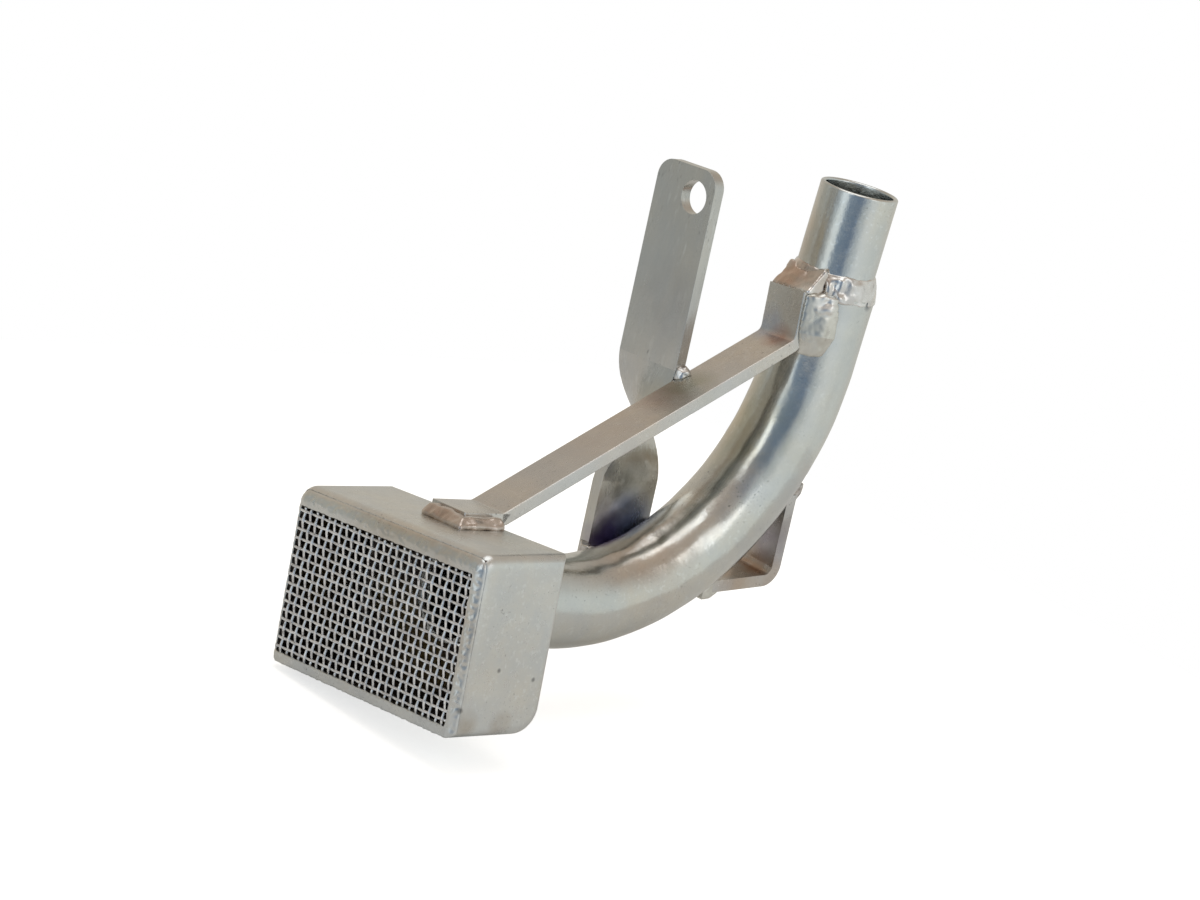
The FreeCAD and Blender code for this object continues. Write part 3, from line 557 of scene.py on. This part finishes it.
def make_weld(node, material, lumps, size, seed, voxel=0.2, soft=8, reach=0.0, widen=0.0, swell=0.12,
              boil=None, taper=None):
    """A CAD weld melted down, then raised in soft lumps of a height and size.

    reach lowers its foot and widen moves its near end out, before the melting rounds
    them. boil is a spot with a radius and more lumps there, and taper is the upright
    line that the lower end draws in to.
    """
    obj = copy_node(node, "melt_" + node)
    low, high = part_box(node)
    for v in obj.data.vertices:
        if v.co.z < low.z + FOOT_HEIGHT * MM:
            v.co.z -= reach * MM
        if 2 * v.co.y < low.y + high.y:
            v.co.y -= widen * MM
    mesh = melted(obj, voxel, WELD_SOFTNESS, soft)
    keep_largest(mesh)
    shift = Vector([seed * step for step in SEED_STEP])
    places = []
    for v in mesh.vertices:
        p = v.co / MM
        big = noise.noise(p * BIG_LUMP / size + shift)
        small = noise.noise(p * SMALL_LUMP / size + shift)
        rise = lumps * (BIG_SHARE * big + SMALL_SHARE * small) + swell
        if boil:
            spot, radius, extra = boil
            closeness = max(0, 1 - (p - Vector(spot)).length / radius)
            rise += extra * noise.noise(p * BOIL_LUMP + shift) * closeness
        place = v.co + v.normal * rise * MM
        if taper:
            line = Vector((taper[0] * MM, taper[1] * MM, place.z))
            share = min(1, TAPER_FOOT + TAPER_RATE * (v.co.z - low.z) / (high.z - low.z))
            place = line + (place - line) * share
        places.append(place)
    move_vertices(mesh, places)
    dress(bpy.data.objects.new("dressed_" + node, mesh), material, node)


# The bead round the screen: what lies behind this depth goes further back
BAND_DEPTH = 1.4
BAND_EXTRA = 0.9
BAND_VOXEL = 0.3
BAND_SOFTNESS = 0.5
BAND_ROUNDS = 3
BAND_SWELL = 0.03
BAND_EDGE = 1.7
# Height of its two sizes of lump, and their ripples to the millimetre
BAND_LUMPS = ((0.14, 0.5), (0.20, 1.1))
BAND_FRONT = 0.02


def make_screen_band(material):
    """The bead round the screen, ground nearly flush, with soft lumps along its front edge."""
    obj = copy_node("weld_screen", "melt_weld_screen")
    low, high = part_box("weld_screen")
    to_box = Matrix.Rotation(ROLL, 3, "X")
    from_box = to_box.inverted()
    for v in obj.data.vertices:
        p = to_box @ (v.co / MM - BOX_BASE)
        if p.x > BAND_DEPTH:
            p.x += BAND_EXTRA
        v.co = (from_box @ p + BOX_BASE) * MM
    mesh = melted(obj, BAND_VOXEL, BAND_SOFTNESS, BAND_ROUNDS)
    places = []
    for v in mesh.vertices:
        p = to_box @ ((v.co + v.normal * BAND_SWELL * MM) / MM - BOX_BASE)
        edge = max(0.0, 1.0 - p.x / BAND_EDGE)
        lump = sum(height * noise.noise(p * ripples) for height, ripples in BAND_LUMPS)
        p += (to_box @ v.normal) * lump * edge
        p.x = max(p.x, BAND_FRONT)
        p.y = min(max(p.y, -BOX_WIDTH / 2), BOX_WIDTH / 2)
        p.z = min(max(p.z, 0.0), BOX_HEIGHT)
        place = (from_box @ p + BOX_BASE) * MM
        places.append([min(max(c, a), b) for c, a, b in zip(place, low, high)])
    move_vertices(mesh, places)
    piece = bpy.data.objects.new("dressed_weld_screen", mesh)
    dress(piece, material, "weld_screen")


# Plates


# Vertices this near to a cut of the twist are on it
CUT_REACH = 0.02
WEAR_ROUNDNESS = 3
FLATTEST = 100
WORN_ANGLE = math.radians(40)
CRISP_ANGLE = math.radians(35)


def ease_twist(mesh):
    """Eases the bracket's quarter twist in and out, as bending by hand leaves it."""
    bm = bmesh.new()
    bm.from_mesh(mesh)
    bmesh.ops.remove_doubles(bm, verts=bm.verts, dist=MERGE * MM)
    for i in range(TWIST_CUTS + 1):
        height = TWIST_START + i / TWIST_CUTS * TWIST_LENGTH
        spot = (BRACKET_BASE + height * BRACKET_WAY) * MM
        everything = bm.verts[:] + bm.edges[:] + bm.faces[:]
        reach = CUT_REACH * MM
        bmesh.ops.bisect_plane(bm, geom=everything, dist=reach, plane_co=spot, plane_no=BRACKET_WAY)
    for v in bm.verts:
        p = v.co / MM - BRACKET_BASE
        t = (p.dot(BRACKET_WAY) - TWIST_START) / TWIST_LENGTH
        if 0 < t < 1:
            turn = math.pi / 2 * TWIST_EASE * (t * t * (3 - 2 * t) - t)
            v.co = (Matrix.Rotation(turn, 3, BRACKET_WAY) @ p + BRACKET_BASE) * MM
    bm.to_mesh(mesh)
    bm.free()


def mark_smooth(mesh):
    """Smooth shading, with the sharper edges kept crisp."""
    bm = bmesh.new()
    bm.from_mesh(mesh)
    for face in bm.faces:
        face.smooth = True
    for edge in bm.edges:
        edge.smooth = not (len(edge.link_faces) == 2 and edge.calc_face_angle(0) > CRISP_ANGLE)
    bm.to_mesh(mesh)
    bm.free()


def make_plate(node, material, bevel=0.35, reshape=None):
    """A CAD strap or shell with worn edges, smooth folds and flat faces that stay flat."""
    obj = copy_node(node, "plate_" + node)
    if reshape:
        reshape(obj.data)
    weld = obj.modifiers.new("join", "WELD")
    weld.merge_threshold = MERGE * MM
    edge = obj.modifiers.new("wear", "BEVEL")
    edge.width = bevel * MM
    edge.segments = WEAR_ROUNDNESS
    edge.limit_method = "ANGLE"
    edge.angle_limit = WORN_ANGLE
    mesh = applied(obj)
    mark_smooth(mesh)
    flat = bpy.data.objects.new("flat_" + node, mesh)
    weigh = flat.modifiers.new("flat faces", "WEIGHTED_NORMAL")
    weigh.weight = FLATTEST
    weigh.keep_sharp = True
    piece = bpy.data.objects.new("dressed_" + node, applied(flat))
    dress(piece, material, node, smooth=False)


# Woven screen


WIRE_SIDES = 7
WIRE_STEPS = 6
# Depth of the cloth's middle behind the box's front, and how far a wire swings from it
CLOTH_DEPTH = 0.85
SWING = WIRE_RADIUS * 0.50
# In pitches: where the first upright wire stands, how far along it is from a wire's end
# to its first crossing, where the level wires end, and the room beside the last wires
FIRST_UPRIGHT = 0.75
FIRST_CROSSING = 0.55
LEVEL_END = 0.2
SPARE_ACROSS, SPARE_UP = 0.5, 0.1
# Unevenness of the wires: how far each is off its place and wanders along its length
PLACE_SLIP = 0.07
WANDER = 0.10
WANDER_RIPPLE = 0.12


def wire(points):
    """Rings round a wire that runs through the points."""
    rings = []
    for i, p in enumerate(points):
        way = (points[min(i + 1, len(points) - 1)] - points[max(i - 1, 0)]).normalized()
        side = way.cross(Vector((1, 0, 0))).normalized()
        rings.append(ring_round(p, side.cross(way), side, WIRE_RADIUS, WIRE_SIDES))
    return rings


def crimp(steps, sign):
    """How deep a wire lies as it passes over and under its neighbours."""
    return CLOTH_DEPTH + sign * SWING * math.cos(math.pi * (steps / WIRE_STEPS - FIRST_CROSSING))


def slip(i, step, row):
    """How far a wire lies off its place."""
    return PLACE_SLIP * noise.noise(Vector((i * step, row, 0)))


def wander(i, step, along, plane):
    """How far a wire strays at a point along it."""
    return WANDER * noise.noise(Vector((i * step, along * WANDER_RIPPLE, plane)))


def upright_wire(i, pitch_y, pitch_z):
    y = SCREEN_LEFT + (i + FIRST_UPRIGHT) * pitch_y + slip(i, step=1.7, row=0)
    sign = 1 if i % 2 else -1
    points = []
    for k in range(WIRES_UP * WIRE_STEPS + 1):
        z = SCREEN_LOW + k / WIRE_STEPS * pitch_z
        points.append(Vector((crimp(k, sign), y + wander(i, step=3.1, along=z, plane=1), z)))
    return wire(points)


def level_wire(j, pitch_y, pitch_z):
    z = SCREEN_LOW + (j + FIRST_CROSSING) * pitch_z + slip(j, step=2.3, row=5)
    sign = -1 if j % 2 else 1
    points = []
    for k in range((WIRES_ACROSS + 1) * WIRE_STEPS - WIRE_STEPS // 2):
        y = SCREEN_LEFT + LEVEL_END * pitch_y + k / WIRE_STEPS * pitch_y
        points.append(Vector((crimp(k, sign), y, z + wander(j, step=2.7, along=y, plane=9))))
    return wire(points)


def make_screen(material):
    """Plain-weave wire cloth: each wire crimps over and under its neighbours."""
    pitch_y = (SCREEN_RIGHT - SCREEN_LEFT) / (WIRES_ACROSS + SPARE_ACROSS)
    pitch_z = (SCREEN_HIGH - SCREEN_LOW) / (WIRES_UP + SPARE_UP)
    laid = [upright_wire(i, pitch_y, pitch_z) for i in range(WIRES_ACROSS)]
    laid += [level_wire(j, pitch_y, pitch_z) for j in range(WIRES_UP)]
    stand = Matrix.Translation(BOX_BASE * MM) @ Matrix.Rotation(-ROLL, 4, "X")
    verts, faces = [], []
    for rings in laid:
        points, sides = ring_sweep(rings)
        first_end = tuple(reversed(range(WIRE_SIDES)))
        last_end = tuple(range(len(points) - WIRE_SIDES, len(points)))
        start = len(verts)
        verts += [stand @ p for p in points]
        faces += [tuple(start + i for i in face) for face in sides + [first_end, last_end]]
    add_object("woven_screen", verts, faces, material, "screen_mesh")


# Look of each piece


PALE = rgb(0.65, 0.67, 0.655)
BOX_PALE = rgb(0.69, 0.71, 0.705)
STUB_PALE = rgb(0.65, 0.68, 0.68)
FOOT_PALE = rgb(0.64, 0.64, 0.63)
OLIVE = rgb(0.60, 0.61, 0.60)
MAUVE = rgb(0.64, 0.635, 0.62)
BLACK = rgb(0.08, 0.08, 0.08)
ALONG_BAR = (1.0, 1.0, 0.25)

# Two pits on the near side, one at the rim, brown along the lower edge, and painted shade inside the box
zinc_box = zinc("zinc_box", BOX_PALE, rough=0.30, grain=1.2, waves=0.22, paint_inside_shade=True, tints=[
    ((-109, -32, -106.7), 0.7, rgb(0.16, 0.16, 0.16), 0.8),
    ((-98, -32.3, -109.1), 0.7, rgb(0.20, 0.20, 0.20), 0.8),
    ((-118.1, -32.7, -115.5), 0.8, BLACK, 0.9),
    ((-116, -33.2, -118.5), 4, rgb(0.40, 0.33, 0.24), 0.5),
    ((-105.5, -33.5, -119.0), 4, rgb(0.42, 0.35, 0.27), 0.5),
])
# The rim's pit, and tan along the top and near side
zinc_band = zinc("zinc_band", BOX_PALE, rough=0.29, grain=1.4, waves=0.6, tints=[
    ((-118.1, -32.7, -115.5), 1.0, BLACK, 0.9),
    ((-116.6, 1.9, -85.3), 16, rgb(0.50, 0.43, 0.34), 0.45),
    ((-116.6, -16, -84.0), 12, rgb(0.52, 0.44, 0.35), 0.45),
    ((-118.6, -29, -100), 9, rgb(0.55, 0.47, 0.37), 0.4),
])
# Blue by the bracket, straw and brown in the bend, and a dark nick under the ring
zinc_tube = zinc("zinc_tube", PALE, rough=0.19, grain=1.2, waves=0.12, tints=[
    ((-33, 10, -92), 12, rgb(0.20, 0.20, 0.38), 0.5),
    ((-14, -1, -61), 15, rgb(0.50, 0.42, 0.22), 0.35),
    ((-43, -3, -91), 17, rgb(0.58, 0.44, 0.34), 0.30),
    ((2.7, -10.8, -24.9), 2.4, rgb(0.06, 0.07, 0.09), 0.9),
])
zinc_stub = zinc("zinc_stub", STUB_PALE, rough=0.18, grain=2.2, waves=0.2, tints=[
    ((-9.5, 3, -14), 9, rgb(0.52, 0.44, 0.36), 0.35),
])
# Brown and green at the bracket, painted as its reflection in the strap, warmth along the strap, blue and
# red at the upper bend
zinc_brace = zinc("zinc_brace", MAUVE, rough=0.26, grain=0.7, waves=0.06, tints=[
    # Painted reflection of the bracket: its front face in brown, then its side edge in green
    ((-43.1, 2.8, -54.4), 9, rgb(0.44, 0.27, 0.20), 0.45),
    ((-37.9, 0.8, -51.0), 8, rgb(0.36, 0.37, 0.28), 0.6),
    ((-59, 4, -64), 18, rgb(0.56, 0.48, 0.42), 0.3),
    ((-13.9, 3.0, -36.0), 6, rgb(0.30, 0.38, 0.58), 0.4),
    ((-15.5, -2, -38), 5, rgb(0.42, 0.20, 0.14), 0.6),
])
# Grey, blue and violet down the lower leg, and a brown cloud on the upper one
zinc_bracket = zinc("zinc_bracket", OLIVE, rough=0.22, grain=1.8, waves=0.30, streak=ALONG_BAR, tints=[
    ((-36.4, 12.6, -79), 13, rgb(0.38, 0.37, 0.33), 0.6),
    ((-33, 12, -88.5), 8, rgb(0.20, 0.26, 0.42), 0.7),
    ((-39.2, 11.7, -93.5), 7, rgb(0.14, 0.10, 0.26), 0.85),
    ((-37.9, 14.5, -36), 14, rgb(0.44, 0.41, 0.40), 0.3),
])
# Brown at the fold and along the lower leg, and grey up the leg that stands
zinc_foot = zinc("zinc_foot", FOOT_PALE, rough=0.28, grain=0.8, waves=0.15, tints=[
    ((1.7, -1, -97), 8, rgb(0.40, 0.22, 0.10), 0.65),
    ((-9, -1, -98), 9, rgb(0.42, 0.25, 0.12), 0.6),
    ((1.0, -3, -84.8), 8, rgb(0.20, 0.17, 0.20), 0.5),
    ((1.5, -3.4, -90), 6, rgb(0.32, 0.28, 0.34), 0.45),
])
weld_grey = weld_metal("weld_metal", (0.50, 0.46, 0.43), (0.74, 0.73, 0.71), soot=0.5)
weld_top = weld_metal("weld_top", (0.62, 0.60, 0.58), (0.86, 0.86, 0.85), soot=0.35, tints=[
    ((-12, 3.5, -23.5), 7, rgb(0.56, 0.38, 0.27), 0.75),
    ((-10, -4, -23), 5, rgb(0.52, 0.42, 0.34), 0.6),
])
weld_warm = weld_metal("weld_warm", (0.48, 0.40, 0.35), (0.66, 0.60, 0.55), soot=0.3, tints=[
    ((-105, 1, -83.5), 7, rgb(0.54, 0.42, 0.35), 0.5),
])
weld_plain = weld_metal("weld_plain", (0.60, 0.59, 0.54), (0.72, 0.71, 0.66), soot=0.2, rough=0.34, tints=[
    ((-9.5, -8.5, -26), 4, rgb(0.88, 0.88, 0.87), 0.8),
])
wire_bright = wire_metal("wire_metal")

make_main_tube(zinc_tube)
make_stub(zinc_stub)
make_screen(wire_bright)
make_plate("strainer_box", zinc_box, bevel=0.2)
make_plate("brace_strap", zinc_brace, bevel=0.25)
make_plate("mounting_bracket", zinc_bracket, bevel=0.8, reshape=ease_twist)
make_plate("foot_angle", zinc_foot)
make_screen_band(zinc_band)

# The spots where a weld boiled up, each with its radius and the height of its lumps
RING_BOIL = ((-8, -8.5, -23), 5, 1.3)
NEAR_BOIL = ((-9.5, -8.5, -26), 4, 1.2)
# The lines that the welds beside the brace's tab draw in to, as X and Y
NEAR_LINE = (-9.5, -5.5)
FAR_LINE = (-9.5, 5.5)

SIDE_WELD = {"lumps": 0.14, "size": 1.0, "soft": 60, "swell": 0.45}
make_weld("weld_stub_ring", weld_top, lumps=0.3, size=1.3, seed=2, voxel=0.22, reach=1.2, boil=RING_BOIL)
make_weld("weld_tube_box", weld_grey, lumps=0.3, size=1.2, seed=3, voxel=0.24)
make_weld("weld_brace_box", weld_warm, lumps=0.4, size=1.6, seed=4, soft=14)
make_weld("weld_brace_tube_near", weld_plain, seed=5, boil=NEAR_BOIL, taper=NEAR_LINE, **SIDE_WELD)
make_weld("weld_brace_tube_far", weld_plain, seed=6, taper=FAR_LINE, **SIDE_WELD)
make_weld("weld_brace_tube_top", weld_top, lumps=0.25, size=1.5, seed=7, soft=14, widen=1.1, swell=0.4)
make_weld("weld_bracket_front", weld_grey, lumps=0.3, size=1.2, seed=8)
make_weld("weld_bracket_rear", weld_grey, lumps=0.3, size=1.2, seed=9)
make_weld("weld_bracket_brace", weld_grey, lumps=0.4, size=0.9, seed=10, voxel=0.15)
make_weld("weld_foot_upper", weld_grey, lumps=0.3, size=1.2, seed=11)
make_weld("weld_foot_lower", weld_plain, lumps=0.2, size=1.2, seed=12)


# Stage, light and camera, in metres


FLOOR_SIZE = 0.5
FLOOR_PLACE = (-0.05, 0, -0.131)
FLOOR_LIFT = 0.66
FLOOR_PALE = rgb(0.82, 0.83, 0.83)
WHITE = rgb(1, 1, 1)


def make_floor():
    """A plain pale floor: the camera sees it lifted to white, with the object's shadow."""
    bpy.ops.mesh.primitive_plane_add(size=FLOOR_SIZE, location=FLOOR_PLACE)
    floor = bpy.context.active_object
    floor.name = "floor"
    tree = Surface("floor")
    seen = tree.node("LightPath").outputs["Is Camera Ray"]
    pale = tree.feed(tree.node("BsdfDiffuse"), Color=FLOOR_PALE)
    strength = tree.math("MULTIPLY", seen, FLOOR_LIFT)
    lift = tree.feed(tree.node("Emission"), Color=WHITE, Strength=strength)
    both = tree.node("AddShader")
    tree.link(pale.outputs["BSDF"], both.inputs[0])
    tree.link(lift.outputs["Emission"], both.inputs[1])
    tree.link(both.outputs["Shader"], tree.out.inputs["Surface"])
    floor.data.materials.append(tree.material)


# Studio seen from the object, by the turn from the photographer to the right, in
# degrees: dark where the photographer stands, a bright strip to the left of that
AROUND = [
    (-180, (0.59, 0.56, 0.50)),
    (-140, (0.60, 0.54, 0.46)),
    (-112, (0.46, 0.44, 0.38)),
    (-84, (0.43, 0.44, 0.42)),
    (-64, (0.33, 0.34, 0.34)),
    (-52, (0.46, 0.51, 0.54)),
    (-42, (0.92, 1.00, 1.04)),
    (-34, (0.92, 1.00, 1.04)),
    (-20, (0.22, 0.29, 0.38)),
    (10, (0.17, 0.23, 0.32)),
    (30, (0.55, 0.60, 0.63)),
    (50, (0.79, 0.82, 0.82)),
    (76, (0.77, 0.79, 0.76)),
    (96, (0.72, 0.74, 0.71)),
    (180, (0.59, 0.56, 0.50)),
]
# Colour of the studio above and below, and the heights over which it covers the ring:
# zero is level and one is straight up
UP_HIGH = ((0.46, 0.38, 0.31), 0.25, 0.95)
UP_TOP = ((0.56, 0.48, 0.41), 0.72, 0.97)
LOW = ((0.46, 0.46, 0.41), -0.30, -0.65)
# The way from the object to the photographer, as an angle about Z
FACING = math.atan2(-0.653, -0.716)


def make_world():
    """The studio as the plated steel reflects it, and plain white for the camera."""
    world = bpy.data.worlds.new("studio")
    bpy.context.scene.world = world
    tree = Tree(world)
    out = tree.node("OutputWorld")
    coords = tree.node("TexCoord").outputs["Generated"]
    turned = tree.feed(tree.node("Mapping"), Rotation=(0, 0, -FACING), Vector=coords)
    way = tree.split(turned.outputs["Vector"])
    # the angle from the photographer, as zero to one with the photographer at a half
    angle = tree.math("ARCTAN2", way["Y"], way["X"])
    share = tree.math("ADD", tree.math("MULTIPLY", angle, 0.5 / math.pi), 0.5)
    ring = tree.feed(tree.node("ValToRGB"), Fac=share)
    ring.color_ramp.interpolation = "EASE"
    while len(ring.color_ramp.elements) < len(AROUND):
        ring.color_ramp.elements.new(0.5)
    for element, (place, tone) in zip(ring.color_ramp.elements, AROUND):
        element.position = (place + 180) / 360
        element.color = rgb(*tone)
    color = ring.outputs["Color"]
    for tone, start, full in (UP_HIGH, UP_TOP, LOW):
        color = tree.mix(tree.ramp(way["Z"], start, full, kind="SMOOTHSTEP"), color, rgb(*tone))
    color = tree.mix(tree.node("LightPath").outputs["Is Camera Ray"], color, WHITE)
    back = tree.feed(tree.node("Background"), Color=color)
    tree.link(back.outputs["Background"], out.inputs["Surface"])


def studio_place(turn, height):
    """A place one metre off, by the turn from the photographer to the right, in degrees."""
    angle = FACING + math.radians(turn)
    flat = math.sqrt(1 - height * height)
    return (flat * math.cos(angle), flat * math.sin(angle), height)


# Soft rectangular lights: name, place, width, height, watts and colour
PANELS = [
    ("overhead", (-0.1, 0.1, 0.9), 0.9, 0.7, 2.2, (0.90, 0.96, 1)),
    ("left", studio_place(-26, 0.42), 0.22, 0.45, 0.3, (0.96, 0.99, 1)),
    ("right", studio_place(50, 0.48), 0.34, 0.45, 0.40, (1, 1, 1)),
]
PANELS_FACE = Vector((-0.06, 0, -0.06))


def make_lights():
    for name, place, width, height, watts, color in PANELS:
        data = bpy.data.lights.new(name, "AREA")
        data.shape = "RECTANGLE"
        data.size = width
        data.size_y = height
        data.energy = watts
        data.color = color
        lamp = bpy.data.objects.new(name, data)
        bpy.context.scene.collection.objects.link(lamp)
        lamp.location = place
        lamp.rotation_euler = (PANELS_FACE - Vector(place)).to_track_quat("-Z", "Y").to_euler()


# Camera, fitted to the photograph: its focal length and the photograph's width in pixels
FOCAL_PIXELS = 3511
PHOTO_WIDTH = 1200
SENSOR_WIDTH = 36
CAMERA_PLACE = Vector((-637.91, -524.80, 129.07))
CAMERA_AIM = Vector((-52.63, 8.94, -70.64))
CAMERA_ROLL = math.radians(16.08)
CLIP_NEAR, CLIP_FAR = 0.05, 20


def make_camera():
    data = bpy.data.cameras.new("camera")
    data.sensor_width = SENSOR_WIDTH
    data.lens = SENSOR_WIDTH * FOCAL_PIXELS / PHOTO_WIDTH
    data.clip_start = CLIP_NEAR
    data.clip_end = CLIP_FAR
    cam = bpy.data.objects.new("camera", data)
    bpy.context.scene.collection.objects.link(cam)
    cam.location = CAMERA_PLACE * MM
    look = (CAMERA_AIM * MM - cam.location).to_track_quat("-Z", "Y").to_matrix()
    cam.rotation_euler = (look @ Matrix.Rotation(CAMERA_ROLL, 3, "Z")).to_euler()
    bpy.context.scene.camera = cam


make_floor()
make_world()
make_lights()
make_camera()
bpy.context.scene.view_settings.view_transform = "Standard"
